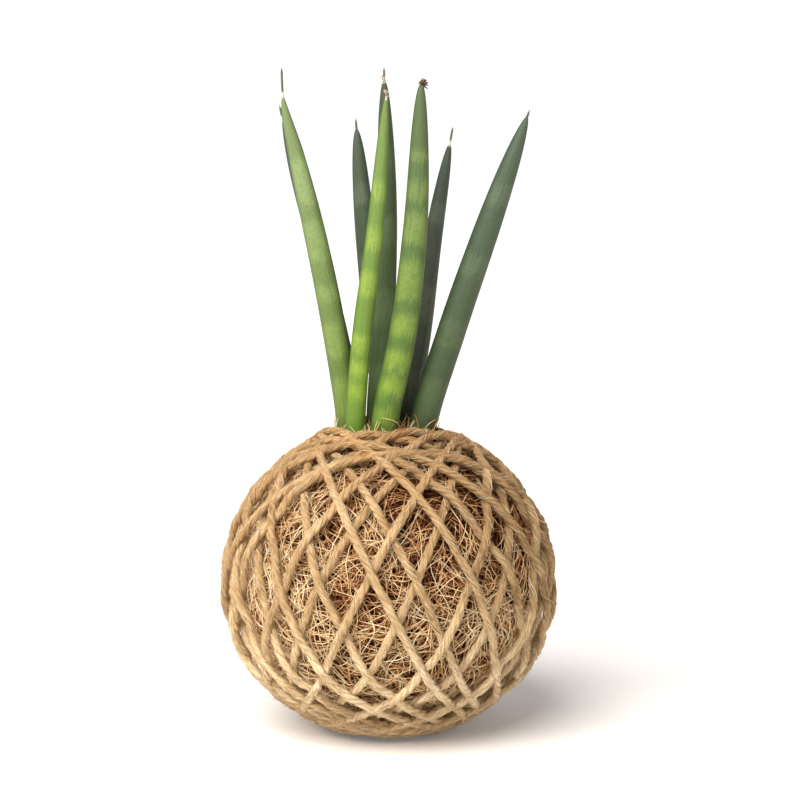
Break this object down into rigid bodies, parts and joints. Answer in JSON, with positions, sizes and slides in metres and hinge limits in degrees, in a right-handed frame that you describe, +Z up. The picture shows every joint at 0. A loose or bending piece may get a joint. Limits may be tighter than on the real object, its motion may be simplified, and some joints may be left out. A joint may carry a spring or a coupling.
{
  "type": "kokedama moss ball plant",
  "caption": "Snake plant with round spear leaves growing from a ball of soil wrapped in coir fibre and wound criss-cross with jute twine.",
  "frame": {"origin": "centre of the small flat spot the ball rests on", "axes": "+Z up along the leaves, -Y the front, +X to the right seen from the front"},
  "size_m": [0.119, 0.119, 0.233],
  "materials": {
    "soil": "matt, crumbly, damp",
    "coir": "matt, tangled coconut fibre",
    "jute": "matt, three-ply hairy twine",
    "rhizome": "matt, papery skin",
    "leaf_pale_green": "satin, faint cross bands",
    "leaf_lime_green": "satin, lime and dark cross bands",
    "leaf_banded_green": "satin, broad cross bands and fine lengthways lines",
    "leaf_deep_green": "satin, deep green",
    "leaf_blue_green": "satin, blue-green with a paler side",
    "leaf_dark_green": "satin, very dark green",
    "leaf_shade_green": "satin, dark grey-green",
    "leaf_grey_green": "satin, grey-green"
  },
  "bodies": {
    "root": {"soil_core": "soil", "coir_cover": "coir", "jute_twine": "jute", "rhizome": "rhizome", "leaf_left": "leaf_pale_green", "leaf_front_left": "leaf_lime_green", "leaf_front_right": "leaf_banded_green", "leaf_middle": "leaf_deep_green", "leaf_right": "leaf_blue_green", "leaf_back_right": "leaf_dark_green", "leaf_back_middle": "leaf_shade_green", "leaf_back_left": "leaf_grey_green"}
  },
  "joints": []
}
